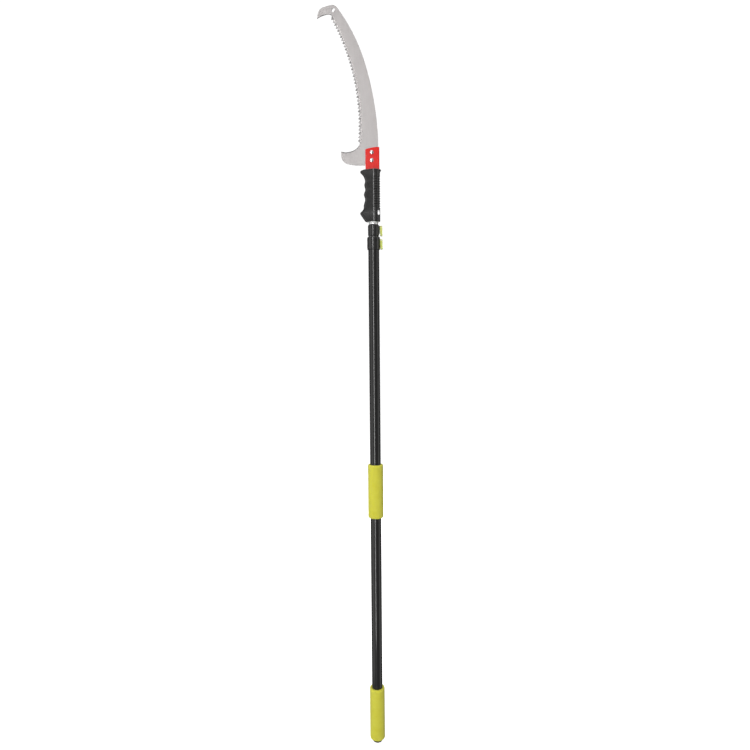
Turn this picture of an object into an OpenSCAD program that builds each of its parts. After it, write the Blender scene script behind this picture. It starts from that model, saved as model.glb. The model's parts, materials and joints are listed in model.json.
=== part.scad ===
// Telescoping pole saw: a three-section lever-lock pole with a curved pruning saw
// screwed on its tip. Millimetres, +Z up the pole, origin at the foot on the pole axis.
// The blade lies in the XZ plane with its teeth towards -X, and the clamp levers face +X.

/* [Pole] */
// Outside diameter of the outer tube
outer_tube_d = 30; // [29.5:0.1:30.5]
// Length of the outer tube
outer_tube_len = 1412; // [1200:1:1500]
// Wall thickness of every tube
tube_wall = 1; // [0.9:0.05:1.1]
// Radial gap between one tube and the tube that slides in it
tube_gap = 1; // [0.9:0.05:1.1]
// Distance that each section starts above the bottom of the section around it
section_rise = 32; // [30:1:60]

/* [Foam grips] */
// Outside diameter of both foam grips
grip_d = 42.4; // [38:0.1:46]
// Length of both foam grips
grip_len = 150; // [120:1:180]
// Height of the lower edge of the foot grip
foot_grip_z = 9.5; // [9:0.5:20]
// Height of the lower edge of the middle grip
mid_grip_z = 652; // [400:1:900]

/* [Clamp collars] */
// Outside diameter of the lower collar
lower_collar_d = 35.5; // [35:0.1:36]
// Height of the lower collar
lower_collar_h = 35.5; // [33:0.5:38]
// Outside diameter of the upper collar
upper_collar_d = 30.5; // [30:0.1:31]
// Height of the upper collar
upper_collar_h = 30; // [28:0.5:34]
// Gap between the two collars when the pole is closed
collar_gap = 2; // [1:0.5:4]

/* [Clamp levers] */
// Length of a lever from its free end to the top of its hub
lever_len = 25.5; // [22:0.5:26]
// Width of a lever across its cheeks
lever_w = 16.4; // [16:0.1:18]
// Thickness of a lever away from the pole
lever_t = 6.4; // [6.2:0.1:6.6]
// Extra reach of the cam lobe when the lever is closed
cam_throw = 0.35; // [0.2:0.05:0.4]

/* [Pole tip] */
// Major diameter of the tip thread
thread_d = 19.05; // [18.8:0.05:19.1]
// Thread pitch
thread_pitch = 5.08; // [5:0.01:5.2]
// Length of the threaded part
thread_len = 27; // [26:0.5:30]
// Height of the bright shoulder under the saw head
shoulder_h = 4.3; // [4:0.1:5]

/* [Handle] */
// Length of the handle between its flat ends
handle_len = 138.5; // [138:0.5:140]
// Thickness of the handle from front to back
handle_t = 29; // [28:0.5:32]
// Number of anti-slip grooves round the spine
rib_count = 12; // [8:1:13]

/* [Blade] */
// Blade thickness
blade_t = 1.5; // [1.2:0.1:1.8]
// Number of teeth
tooth_count = 37; // [35:1:37]
// Depth of a tooth from tip to gullet
tooth_depth = 5.4; // [3:0.1:6]
// Thickness of the bracket's folded sheet
bracket_sheet = 1.5; // [1.2:0.1:1.8]

/* [Hidden] */
$fn = 96;

run_gap = 0.1;   // radial clearance of a part that runs on another
free_gap = 0.3;  // clearance between moving curved faces

// Tube radii, from the outside in
outer_r = outer_tube_d / 2;
middle_r = outer_r - tube_wall - tube_gap;
inner_r = middle_r - tube_wall - tube_gap;

// End cap
cap_h = 8;
cap_r = outer_r - 0.4;
cap_foot_r = 9.5;
cap_round = cap_r - cap_foot_r;
cap_plug_len = 22;

// Heights up the closed pole
outer_z0 = cap_h;
outer_z1 = outer_z0 + outer_tube_len;
lower_lip = 4;
lower_collar_z1 = outer_z1 + lower_lip;
lower_collar_z0 = lower_collar_z1 - lower_collar_h;
upper_collar_z0 = lower_collar_z1 + collar_gap;
upper_collar_z1 = upper_collar_z0 + upper_collar_h;
upper_lip = 2;
middle_z0 = outer_z0 + section_rise;
middle_z1 = upper_collar_z1 - upper_lip;
inner_z0 = middle_z0 + section_rise;
shoulder_z0 = upper_collar_z1 + run_gap;
inner_z1 = shoulder_z0;
shoulder_z1 = shoulder_z0 + shoulder_h;
washer_t = 2.5;
washer_z0 = shoulder_z1 + run_gap;
washer_z1 = washer_z0 + washer_t;
handle_z0 = upper_collar_z1 + 6;
handle_z1 = handle_z0 + handle_len;

// Clamp: each lever turns on a pin across the pole and its cam pushes a shoe on the tube
lower_pivot = [20.6, lower_collar_z1 - 10.7];
upper_pivot = [20.2, upper_collar_z1 - 7.2];
hub_r = 3.2;
ear_r = 2.9;
ear_y0 = 4.1;
ear_y1 = 6.1;
cheek_y0 = 6.5;
lever_web = 1.6;
lever_lip = 0.7;
cam_w = 7.4;
cam_r = 3.1;
pin_r = 1.25;
pin_len = lever_w - 0.4;
shoe_w = 7.4;
window_w = 8;

// Bushes at the bottom of the sliding tubes
bush_len = 25;
bush_flange = 3;
pip_r = 2;

// Rivets
rivet_r = 1.5;
rivet_head_r = 2.6;
rivet_head_h = 1.1;
rivet_rise = 10;
rivet_seat_depth = 0.3;

// Tip and washer
shoulder_r = 12.4;
washer_id_r = thread_d / 2 + free_gap;
washer_od_r = 12.6;
tip_plug_len = 30;
tip_neck_r = 8.1;
thread_r = thread_d / 2;
thread_root_r = thread_r - 1.3;
thread_z0 = shoulder_z1 + 3.5;
thread_z1 = thread_z0 + thread_len;
tip_rivet_r = 2;
tip_rivet_z = inner_z1 - 17;

// Handle: lanyard slot, socket and grooves
socket_r = thread_r + free_gap;
socket_z1 = thread_z1 + 6;
lanyard_x = 14.1;
lanyard_z = handle_z0 + 25;
lanyard_w = 5;
lanyard_h = 12;
rib_z0 = handle_z0 + 44;
rib_pitch = 6.5;
rib_h = 2.6;
rib_depth = 0.8;

// Blade bracket: a folded sheet round the back of the blade, with a tang in the handle
bracket_x0 = -20.3;
bracket_x1 = 17.2;
bracket_half_t = blade_t / 2 + 0.05 + bracket_sheet;
tang_half_w = 12;
tang_len = 62;
bolt_x = -3.3;
bolt_rise = [25.3, 46.2];
bolt_r = 3;
bolt_head_r = 5.5;
bolt_head_h = 2.6;
bolt_washer_r = 6;
bolt_washer_t = 1;
nut_across_flats = 10;
nut_t = 5;

// Blade outline, with heights measured from the top of the handle
back_low_c = [-771.7, 49.1];
back_low_r = 786.5;
back_join_a = 16.76;
back_high_r = 461.5;
back_high_c = back_low_c + (back_low_r - back_high_r) * [cos(back_join_a), sin(back_join_a)];
back_top_a = 37;
butt_z = 12;
teeth_c = [-605, 118.1];
teeth_r = 569.1;
first_tooth_a = 28.45;
first_pitch = 8.32;
pitch_growth = 0.039;
rake = 0.32;     // share of the pitch taken by a tooth's steep face
top_hook_tip = [-144.2, 390.4];
low_hook_tip = [-84.9, 49.4];
hang_slot = [-101, 413];
hang_slot_w = 5.9;
hang_slot_len = 11;
hang_slot_lean = 31;

// ---- helpers ----

// Points on the circle of centre c and radius r from angle a0 to a1
function arc(c, r, a0, a1, n) =
    [for (i = [0 : n]) c + r * [cos(a0 + (a1 - a0) * i / n), sin(a0 + (a1 - a0) * i / n)]];

// Curve through three points, as a parabola, leaving the last point out
function bow(a, m, b, n) =
    [for (i = [0 : n - 1]) let (t = i / n, c = 2 * m - (a + b) / 2)
        (1 - t) * (1 - t) * a + 2 * t * (1 - t) * c + t * t * b];

// Smooth curve through all the points p, n steps to a span
function smooth(p, n) = concat(
    [for (i = [0 : len(p) - 2], k = [0 : n - 1])
        let (t = k / n, a = p[max(i - 1, 0)], b = p[i], c = p[i + 1], d = p[min(i + 2, len(p) - 1)])
            0.5 * (2 * b + (c - a) * t + (2 * a - 5 * b + 4 * c - d) * t * t
                + (3 * b - a - 3 * c + d) * t * t * t)],
    [p[len(p) - 1]]);

// Stand an XZ drawing up as a plate of thickness t, centred on y
module plate(t, y = 0) {
    translate([0, y, 0])
        rotate([90, 0, 0])
            linear_extrude(height = t, center = true)
                children();
}

module tube(r, z0, z1) {
    translate([0, 0, z0])
        difference() {
            cylinder(r = r, h = z1 - z0);
            translate([0, 0, -1])
                cylinder(r = r - tube_wall, h = z1 - z0 + 2);
        }
}

// Square hole on the +X side that the brake shoe passes through
module shoe_window(pivot) {
    translate([pivot[0] - 12, -window_w / 2, pivot[1] - window_w / 2])
        cube([20, window_w, window_w]);
}

// Hole across the pole at a height, towards +Y
module rivet_hole(z) {
    translate([0, 0, z])
        rotate([-90, 0, 0])
            cylinder(r = rivet_r, h = 30);
}

// Flat spot cut in a collar of radius r for the head of its rivet
module rivet_seat(r, z) {
    translate([0, r - rivet_seat_depth, z])
        rotate([-90, 0, 0])
            cylinder(r = rivet_head_r + 0.15, h = 5);
}

// Hole or shaft along Y through a point of the XZ plane
module cross_pin(p, r, len) {
    translate([p[0], 0, p[1]])
        rotate([90, 0, 0])
            cylinder(r = r, h = len, center = true);
}

// ---- pole sections ----

module outer_tube() color("#1c1c1c") {
    difference() {
        tube(outer_r, outer_z0, outer_z1);
        shoe_window(lower_pivot);
        rivet_hole(lower_collar_z0 + rivet_rise);
    }
}

module middle_tube() color("#1c1c1c") {
    difference() {
        tube(middle_r, middle_z0, middle_z1);
        shoe_window(upper_pivot);
        rivet_hole(upper_collar_z0 + rivet_rise);
        pip_holes(middle_r, middle_z0);
    }
}

module inner_tube() color("#1c1c1c") {
    difference() {
        tube(inner_r, inner_z0, inner_z1);
        pip_holes(inner_r, inner_z0);
        cross_pin([0, tip_rivet_z], tip_rivet_r, 40);
    }
}

// Cylinder to both sides at the bottom of a tube, from radius r0 to r1
module pips(r0, r1, z0) {
    for (side = [0, 180])
        rotate([0, 0, side])
            translate([r0, 0, z0 + bush_len / 2])
                rotate([0, 90, 0])
                    cylinder(r = pip_r, h = r1 - r0);
}

// Holes that the pips of a bush snap into
module pip_holes(r, z0) pips(r - tube_wall - 2, r + 2, z0);

// Plastic sleeve that guides the bottom of a section inside the tube around it
module bush(r, z0) {
    sleeve_r = r + tube_gap - run_gap;
    difference() {
        translate([0, 0, z0 - bush_flange])
            cylinder(r = sleeve_r, h = bush_len + bush_flange);
        translate([0, 0, z0 - bush_flange - 1])
            cylinder(r = r - tube_wall + 0.2, h = bush_len + bush_flange + 2);
        translate([0, 0, z0])
            cylinder(r = r, h = bush_len + 1);
    }
    pips(r - tube_wall / 2, r + tube_gap / 2, z0);
}

module middle_tube_bush() color("#e8e6dc") bush(middle_r, middle_z0);

module inner_tube_bush() color("#e8e6dc") bush(inner_r, inner_z0);

module end_cap() color("#202020") {
    plug_r = outer_r - tube_wall;
    rotate_extrude()
        polygon(concat(
            [[0, 0], [cap_foot_r, 0]],
            arc([cap_foot_r, cap_round], cap_round, -90, 0, 8),
            [
                [cap_r, cap_h], [plug_r, cap_h], [plug_r, cap_h + cap_plug_len - 2],
                [plug_r - 1, cap_h + cap_plug_len], [plug_r - 3, cap_h + cap_plug_len],
                [plug_r - 3, cap_h - 3], [0, cap_h - 3]
            ]));
}

// ---- foam grips ----

module foam_grip(z0) {
    edge = 4;
    r = grip_d / 2;
    translate([0, 0, z0])
        rotate_extrude()
            polygon(concat(
                [[outer_r, 0]],
                arc([r - edge, edge], edge, -90, 0, 8),
                arc([r - edge, grip_len - edge], edge, 0, 90, 8),
                [[outer_r, grip_len]]));
}

module foot_grip() color("#c8ca42") foam_grip(foot_grip_z);

module mid_grip() color("#d0d245") foam_grip(mid_grip_z);

// ---- lever clamps ----

// The two ears that carry the lever's pin
module ears(pivot, root_r) {
    for (side = [-1, 1])
        plate(ear_y1 - ear_y0, side * (ear_y0 + ear_y1) / 2)
            union() {
                translate(pivot)
                    circle(r = ear_r);
                polygon([
                    [root_r, pivot[1] - 7], [pivot[0], pivot[1] - ear_r],
                    [pivot[0], pivot[1] + ear_r], [root_r, pivot[1] + 3.6]
                ]);
            }
}

// Flat pad that fills the space between the collar and its closed lever
module lever_pad(pivot, root_r) {
    face_x = pivot[0] - hub_r - free_gap;
    plate(lever_w - 0.8)
        polygon([
            [root_r, pivot[1] - 20], [face_x, pivot[1] - 17.5],
            [face_x, pivot[1] + 2.6], [root_r, pivot[1] + 4.4]
        ]);
}

// Collar: wall outside a tube's end, with a lip that guides the next tube
module collar_body(profile, pivot, r, tube_r, tube_z1, z0) {
    difference() {
        union() {
            rotate_extrude()
                polygon(profile);
            ears(pivot, tube_r + 0.5);
            lever_pad(pivot, tube_r - 2);
        }
        translate([0, 0, z0 - 1])
            cylinder(r = tube_r, h = tube_z1 - z0 + 1);
        translate([0, 0, z0 - 1])
            cylinder(r = tube_r - tube_wall - tube_gap + run_gap, h = 60);
        shoe_window(pivot);
        cross_pin(pivot, pin_r, 40);
        rivet_hole(z0 + rivet_rise);
        rivet_seat(r, z0 + rivet_rise);
    }
}

module lower_collar() color("#242424") {
    r = lower_collar_d / 2;
    z0 = lower_collar_z0;
    z1 = lower_collar_z1;
    profile = [
        [0, z0], [r - 1.6, z0], [r - 0.5, z0 + 1.5], [r, z0 + 7],
        [r, z1 - 5], [r - 0.8, z1 - 1.6], [r - 2.4, z1], [0, z1]
    ];
    collar_body(profile, lower_pivot, r, outer_r, outer_z1, z0);
}

module upper_collar() color("#242424") {
    r = upper_collar_d / 2;
    top_round = 3.4;
    z0 = upper_collar_z0;
    z1 = upper_collar_z1;
    profile = concat(
        [[0, z0], [r - 0.6, z0], [r, z0 + 0.8]],
        arc([r - top_round, z1 - top_round], top_round, 0, 90, 10),
        [[0, z1]]);
    collar_body(profile, upper_pivot, r, middle_r, middle_z1, z0);
}

// Lever: two cheeks joined by a web, and a cam between the collar's ears
module lever(pivot) {
    end_z = hub_r - lever_len;
    back_x = lever_t - hub_r;
    difference() {
        translate([pivot[0], 0, pivot[1]])
            union() {
                for (side = [-1, 1])
                    plate(lever_w / 2 - cheek_y0, side * (lever_w / 2 + cheek_y0) / 2)
                        union() {
                            circle(r = hub_r);
                            polygon([
                                [-hub_r, 0], [-hub_r + 0.4, end_z * 0.55], [-hub_r + 1.2, end_z],
                                [back_x, end_z], [back_x, 0]
                            ]);
                        }
                plate(lever_w)
                    polygon([
                        [back_x - lever_web, -hub_r], [back_x - lever_web, end_z],
                        [back_x + lever_lip, end_z], [back_x, end_z + 5], [back_x, -hub_r]
                    ]);
                plate(cam_w)
                    union() {
                        translate([-cam_throw, 0])
                            circle(r = cam_r);
                        polygon([[-2, -2], [0, -7], [back_x, -7], [back_x, 0], [0, 2]]);
                    }
            }
        cross_pin(pivot, pin_r + 0.07, 40);
    }
}

// Shoe that the cam pushes against the sliding tube
module brake_shoe(pivot, tube_r) {
    face_x = pivot[0] - cam_r - cam_throw - free_gap;
    difference() {
        translate([0, -shoe_w / 2, pivot[1] - shoe_w / 2])
            cube([face_x, shoe_w, shoe_w]);
        translate([0, 0, pivot[1] - shoe_w])
            cylinder(r = tube_r + free_gap, h = 2 * shoe_w);
    }
}

// Blind rivet that holds a collar of radius r on its tube, on the +Y side
module collar_rivet(r, z, tail_r) {
    seat_r = r - rivet_seat_depth;
    top_r = seat_r + rivet_head_h;
    translate([0, 0, z])
        rotate([-90, 0, 0])
            rotate_extrude()
                polygon(concat(
                    [[0, tail_r], [rivet_r, tail_r], [rivet_r, seat_r], [rivet_head_r, seat_r]],
                    bow([rivet_head_r, seat_r + 0.3], [rivet_head_r * 0.6, seat_r + rivet_head_h * 0.85],
                        [0, top_r], 5),
                    [[0, top_r]]));
}

module lower_lever() color("#d6dc6e") lever(lower_pivot);

module upper_lever() color("#d6dc6e") lever(upper_pivot);

module lower_lever_pin() color("silver") cross_pin(lower_pivot, pin_r, pin_len);

module upper_lever_pin() color("silver") cross_pin(upper_pivot, pin_r, pin_len);

module lower_brake_shoe() color("#303030") brake_shoe(lower_pivot, middle_r);

module upper_brake_shoe() color("#303030") brake_shoe(upper_pivot, inner_r);

module lower_collar_rivet() color("silver")
    collar_rivet(lower_collar_d / 2, lower_collar_z0 + rivet_rise, outer_r - tube_wall - 0.4);

module upper_collar_rivet() color("silver")
    collar_rivet(upper_collar_d / 2, upper_collar_z0 + rivet_rise, middle_r - tube_wall - 0.4);

// ---- pole tip ----

// Metal tip: a plug riveted in the inner tube, a shoulder and a coarse male thread.
// The thread's turns are drawn as separate ridges one pitch apart.
module pole_tip() color("#d8d8d8") {
    plug_r = inner_r - tube_wall;
    ridges = floor(thread_len / thread_pitch);
    difference() {
        rotate_extrude()
            polygon(concat(
                [
                    [0, inner_z1 - tip_plug_len], [plug_r - 1, inner_z1 - tip_plug_len],
                    [plug_r, inner_z1 - tip_plug_len + 1], [plug_r, shoulder_z0],
                    [shoulder_r - 0.5, shoulder_z0], [shoulder_r, shoulder_z0 + 0.5],
                    [shoulder_r, shoulder_z1 - 0.5], [shoulder_r - 0.5, shoulder_z1],
                    [tip_neck_r, shoulder_z1]
                ],
                [for (i = [0 : ridges - 1]) let (z = thread_z0 + i * thread_pitch) each [
                    [thread_root_r, z], [thread_r, z + 0.9],
                    [thread_r, z + 2.5], [thread_root_r, z + 3.4]
                ]],
                [[thread_root_r, thread_z1 - 1.2], [thread_root_r - 1.2, thread_z1], [0, thread_z1]]));
        cross_pin([0, tip_rivet_z], tip_rivet_r, 40);
    }
}

// Cross rivet through the tube and the tip's plug, flush with the tube
module tip_rivets() color("silver") {
    intersection() {
        cross_pin([0, tip_rivet_z], tip_rivet_r, 40);
        translate([0, 0, tip_rivet_z - 5])
            cylinder(r = inner_r, h = 10);
    }
}

module thrust_washer() color("#f0f0ec") {
    translate([0, 0, washer_z0])
        difference() {
            cylinder(r = washer_od_r, h = washer_t);
            translate([0, 0, -1])
                cylinder(r = washer_id_r, h = washer_t + 2);
        }
}

// ---- saw head ----

// Side outline of the handle, with finger grooves on the -X side
module handle_outline() {
    x1 = 18.5;
    fingers = smooth([
        [-32.4, 137.5], [-34.2, 133.6], [-27, 123.5], [-22.3, 114], [-21, 109.4],
        [-23.2, 98.9], [-20.9, 86.5], [-24.8, 73.9], [-21.4, 61.5], [-25, 46.4],
        [-26, 36.1], [-30.5, 30.3], [-35.4, 24.6], [-32.6, 19], [-20.5, 2.6], [-16.8, 0.5]
    ], 4);
    polygon([for (p = concat(
        fingers,
        [[-12, 1.6], [-8, 2], [8, 2], [12, 0.8]],
        bow([14.5, 0.6], [17.4, 1.8], [x1, 5], 5),
        [[x1, 5], [x1, 130]],
        bow([x1, 130], [19.2, 134.8], [21.9, 137.6], 4),
        [[21.9, 138.5], [-31.4, 138.5]])) p + [0, handle_z0]]);
}

// Plan section of the handle, drawn in by a distance
module handle_section(inset = 0) {
    t = handle_t / 2 - inset;
    spine_x = 18.5 - inset;
    flare_x = 22 - inset;
    polygon(concat(
        smooth([[-36 + inset, -6], [-30, -9.5], [-18, -12.8], [-6, -t], [6, -t],
            [14, -12 + inset], [spine_x, -6.5], [flare_x, -2]], 4),
        smooth([[flare_x, 2], [spine_x, 6.5], [14, 12 - inset], [6, t], [-6, t],
            [-18, 12.8], [-30, 9.5], [-36 + inset, 6]], 4)));
}

// One anti-slip groove round the spine
module rib_groove(z) {
    translate([0, 0, z])
        linear_extrude(height = rib_pitch - rib_h)
            difference() {
                translate([2, -20])
                    square([24, 40]);
                handle_section(rib_depth);
                translate([-2, -20])
                    square([4, 40]);
            }
}

module lanyard_slot() {
    straight = (lanyard_h - lanyard_w) / 2;
    plate(60)
        translate([lanyard_x, lanyard_z])
            union() {
                square([lanyard_w, 2 * straight], center = true);
                for (side = [-1, 1])
                    translate([0, side * straight])
                        circle(d = lanyard_w);
            }
}

module handle() color("#2a2a2a") {
    difference() {
        intersection() {
            plate(60)
                handle_outline();
            translate([0, 0, handle_z0 - 5])
                linear_extrude(height = handle_len + 10)
                    handle_section();
        }
        translate([0, 0, handle_z0 - 1])
            cylinder(r = socket_r, h = socket_z1 - handle_z0 + 1);
        translate([0, 0, handle_z0 - 1])
            cylinder(r = washer_od_r + free_gap, h = washer_z1 + run_gap - handle_z0 + 1);
        lanyard_slot();
        for (i = [0 : rib_count - 1])
            rib_groove(rib_z0 + i * rib_pitch);
        bracket_shape();
    }
}

// Folded bracket: two sheets joined by a fold behind the blade
module bracket_shape() {
    difference() {
        plate(2 * bracket_half_t)
            translate([0, handle_z1])
                polygon(concat(
                    [[-tang_half_w, -tang_len], [tang_half_w, -tang_len], [tang_half_w, -6],
                        [bracket_x1, -6]],
                    bow([bracket_x1, 60.3], [-2.8, 58.7], [bracket_x0, 54.5], 8),
                    [[bracket_x0, 54.5], [bracket_x0, -6], [-tang_half_w, -6]]));
        plate(blade_t + 0.1)
            translate([bracket_x0 - 1, handle_z1 - tang_len + 6])
                square([bracket_x1 - bracket_sheet - bracket_x0 + 1, tang_len + 70]);
    }
}

module blade_bracket() color("#e23e37") {
    difference() {
        bracket_shape();
        for (rise = bolt_rise)
            cross_pin([bolt_x, handle_z1 + rise], bolt_r, 40);
    }
}

// Point on the tooth line, a distance s down the blade from the first tooth
function tooth_point(s, r) = let (a = first_tooth_a - s / teeth_r * 180 / PI)
    teeth_c + r * [cos(a), sin(a)];

function tooth_s(k) = first_pitch * k + pitch_growth * k * k / 2;

function teeth() = [for (k = [0 : tooth_count - 1]) each [
    tooth_point(tooth_s(k), teeth_r - tooth_depth / 2),
    tooth_point(tooth_s(k) + rake * (tooth_s(k + 1) - tooth_s(k)), teeth_r + tooth_depth / 2)
]];

module blade_outline() {
    polygon([for (p = concat(
        [[13.9, butt_z]],
        arc(back_low_c, back_low_r, -1, back_join_a, 24),
        arc(back_high_c, back_high_r, back_join_a + 1, back_top_a, 24),
        bow([-94.5, 422.6], [-99, 425.4], [-104.5, 426.1], 4),
        bow([-104.5, 426.1], [-116, 423.8], [-128, 420.1], 4),
        bow([-128, 420.1], [-139.6, 410.6], top_hook_tip, 8),
        bow(top_hook_tip, [-135.2, 396.1], [-124.7, 399.7], 4),
        bow([-124.7, 399.7], [-113.2, 401.4], [-103.6, 397.6], 8),
        teeth(),
        [[-35.2, 69.4]],
        bow([-36.2, 65.7], [-50.5, 52.4], [-73.1, 46.9], 8),
        [[-73.1, 46.9]],
        bow(low_hook_tip, [-82.6, 28.2], [-69.9, 16.9], 8),
        bow([-69.9, 16.9], [-47, 12.7], [-22, 12.1], 6),
        [[-22, butt_z]])) p + [0, handle_z1]]);
}

module saw_blade() color("#beb8b6") {
    difference() {
        plate(blade_t)
            blade_outline();
        for (rise = bolt_rise)
            cross_pin([bolt_x, handle_z1 + rise], bolt_r, 40);
        plate(blade_t + 2)
            translate(hang_slot + [0, handle_z1])
                rotate(-hang_slot_lean)
                    union() {
                        square([hang_slot_w, hang_slot_len - hang_slot_w], center = true);
                        for (side = [-1, 1])
                            translate([0, side * (hang_slot_len - hang_slot_w) / 2])
                                circle(d = hang_slot_w);
                    }
    }
}

// Place a child at each bolt, with its +Z running from the front to the back of the saw
module at_bolts() {
    for (rise = bolt_rise)
        translate([bolt_x, 0, handle_z1 + rise])
            rotate([-90, 0, 0])
                children();
}

module blade_bolts() color("#e0e0e0") {
    front = -bracket_half_t;
    tail = bracket_half_t + bolt_washer_t + nut_t + 1.2;
    at_bolts()
        rotate_extrude()
            polygon(concat(
                bow([0, front - bolt_head_h], [bolt_head_r * 0.6, front - bolt_head_h * 0.8],
                    [bolt_head_r, front - 0.7], 6),
                [
                    [bolt_head_r, front - 0.7], [bolt_head_r, front], [bolt_r, front],
                    [bolt_r, tail - 0.6], [bolt_r - 0.6, tail], [0, tail]
                ]));
}

module bolt_washers() color("silver") {
    at_bolts()
        translate([0, 0, bracket_half_t])
            difference() {
                cylinder(r = bolt_washer_r, h = bolt_washer_t);
                translate([0, 0, -1])
                    cylinder(r = bolt_r, h = bolt_washer_t + 2);
            }
}

module blade_nuts() color("silver") {
    at_bolts()
        translate([0, 0, bracket_half_t + bolt_washer_t])
            difference() {
                cylinder(d = nut_across_flats / cos(30), h = nut_t, $fn = 6);
                translate([0, 0, -1])
                    cylinder(r = bolt_r, h = nut_t + 2);
            }
}

outer_tube();
end_cap();
foot_grip();
mid_grip();
lower_collar();
lower_lever_pin();
lower_collar_rivet();
lower_lever();
lower_brake_shoe();
middle_tube();
middle_tube_bush();
upper_collar();
upper_lever_pin();
upper_collar_rivet();
upper_lever();
upper_brake_shoe();
inner_tube();
inner_tube_bush();
pole_tip();
tip_rivets();
thrust_washer();
handle();
blade_bracket();
saw_blade();
blade_bolts();
bolt_washers();
blade_nuts();
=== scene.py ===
"""Looks of a telescoping pole saw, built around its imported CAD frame.

Everything is in metres in the CAD's own frame: +Z up the pole, origin at the foot, the blade in the
XZ plane with its teeth towards -X and the clamp levers towards +X."""

import json
import math

import bmesh
import bpy
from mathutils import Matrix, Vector, noise
from mathutils.geometry import delaunay_2d_cdt


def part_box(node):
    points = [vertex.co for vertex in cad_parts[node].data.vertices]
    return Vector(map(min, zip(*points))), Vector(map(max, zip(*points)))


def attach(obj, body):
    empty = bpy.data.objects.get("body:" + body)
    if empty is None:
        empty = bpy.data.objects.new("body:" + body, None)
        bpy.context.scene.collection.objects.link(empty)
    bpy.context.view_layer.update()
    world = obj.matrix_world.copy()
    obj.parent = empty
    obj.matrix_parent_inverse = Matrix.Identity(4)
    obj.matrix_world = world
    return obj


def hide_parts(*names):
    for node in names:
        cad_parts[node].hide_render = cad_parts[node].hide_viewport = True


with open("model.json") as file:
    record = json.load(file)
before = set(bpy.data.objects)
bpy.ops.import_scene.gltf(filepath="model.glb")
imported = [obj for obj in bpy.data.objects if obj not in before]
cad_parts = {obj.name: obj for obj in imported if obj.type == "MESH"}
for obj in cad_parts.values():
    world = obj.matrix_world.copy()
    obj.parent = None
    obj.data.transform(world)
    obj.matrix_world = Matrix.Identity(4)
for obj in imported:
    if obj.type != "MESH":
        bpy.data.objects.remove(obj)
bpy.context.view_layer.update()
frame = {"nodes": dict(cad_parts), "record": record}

MM = 0.001
NODES = frame["nodes"]


# ---------------------------------------------------------------- camera, light, floor


def add_camera():
    """The photograph's view: 1.54 m in front of the pole, a little above its middle and pitched down."""
    distance = 1.538
    pitch = math.radians(3.8)
    roll = math.radians(0.465)
    aim = Vector((0.0015, 0, 1.05))
    data = bpy.data.cameras.new("camera")
    data.sensor_width = 36
    data.lens = 26.88
    data.clip_start = 0.01
    camera = bpy.data.objects.new("camera", data)
    bpy.context.scene.collection.objects.link(camera)
    camera.location = aim + distance * Vector((0, -math.cos(pitch), math.sin(pitch)))
    camera.rotation_mode = "XYZ"
    camera.rotation_euler = (math.pi / 2 - pitch, roll, 0)
    bpy.context.scene.camera = camera


def area_light(name, place, aim, width, height, power):
    """A rectangular soft light at a place, turned to a point, with its height upright."""
    data = bpy.data.lights.new(name, "AREA")
    data.shape = "RECTANGLE"
    data.size = width
    data.size_y = height
    data.energy = power
    light = bpy.data.objects.new(name, data)
    light.location = place
    light.rotation_euler = (Vector(aim) - Vector(place)).to_track_quat("-Z", "Y").to_euler()
    bpy.context.scene.collection.objects.link(light)


def add_world():
    """White behind the object, and a dimmer even light on it."""
    fill_strength, seen_strength = 0.17, 1.05
    world = bpy.data.worlds.new("studio")
    bpy.context.scene.world = world
    world.use_nodes = True
    nodes, links = world.node_tree.nodes, world.node_tree.links
    nodes.clear()
    rays = nodes.new("ShaderNodeLightPath")
    pick = nodes.new("ShaderNodeMixShader")
    out = nodes.new("ShaderNodeOutputWorld")
    links.new(rays.outputs["Is Camera Ray"], pick.inputs["Fac"])
    for socket, strength in ((1, fill_strength), (2, seen_strength)):
        background = nodes.new("ShaderNodeBackground")
        background.inputs["Color"].default_value = (1, 1, 1, 1)
        background.inputs["Strength"].default_value = strength
        links.new(background.outputs["Background"], pick.inputs[socket])
    links.new(pick.outputs["Shader"], out.inputs["Surface"])


def add_floor():
    """Pale floor that the camera sees, and that neither lights nor shades the object."""
    bpy.ops.mesh.primitive_circle_add(vertices=96, radius=70, fill_type="NGON")
    floor = bpy.context.object
    floor.name = "floor"
    material = bpy.data.materials.new("pale_floor")
    material.use_nodes = True
    surface = material.node_tree.nodes["Principled BSDF"]
    surface.inputs["Base Color"].default_value = (0.9, 0.9, 0.9, 1)
    surface.inputs["Roughness"].default_value = 0.9
    surface.inputs["Emission Color"].default_value = (1, 1, 1, 1)
    surface.inputs["Emission Strength"].default_value = 0.95
    floor.data.materials.append(material)
    floor.visible_diffuse = False
    floor.visible_glossy = False
    floor.visible_shadow = False


LIGHTS = (  # name, place, aim, width and height in metres, watts
    ("left_box", (-2.6, -1.0, 0.9), (0, 0, 0.9), 2.4, 5.0, 24),
    ("strip", (-0.63, -2.3, 1.2), (0, 0, 1.2), 0.3, 4.5, 41),
    ("top_box", (0, 0.2, 4.2), (0, 0, 0), 3.0, 3.0, 50),
    ("right_box", (2.6, -0.7, 0.9), (0, 0, 0.9), 1.2, 5.0, 14),
    ("back_box", (0, 3.0, 1.6), (0, 0, 1.3), 2.0, 4.0, 40),
    ("front_box", (-0.2, -3.4, 3.2), (0, 0, 1.6), 3.0, 2.2, 11),
)


def add_studio():
    add_world()
    add_floor()
    for light in LIGHTS:
        area_light(*light)
    bpy.context.scene.view_settings.view_transform = "Standard"
    bpy.context.scene.view_settings.look = "None"


# ---------------------------------------------------------------- materials


NOISE_RANGE = (0.3, 0.7)  # where noise mostly lies


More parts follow.
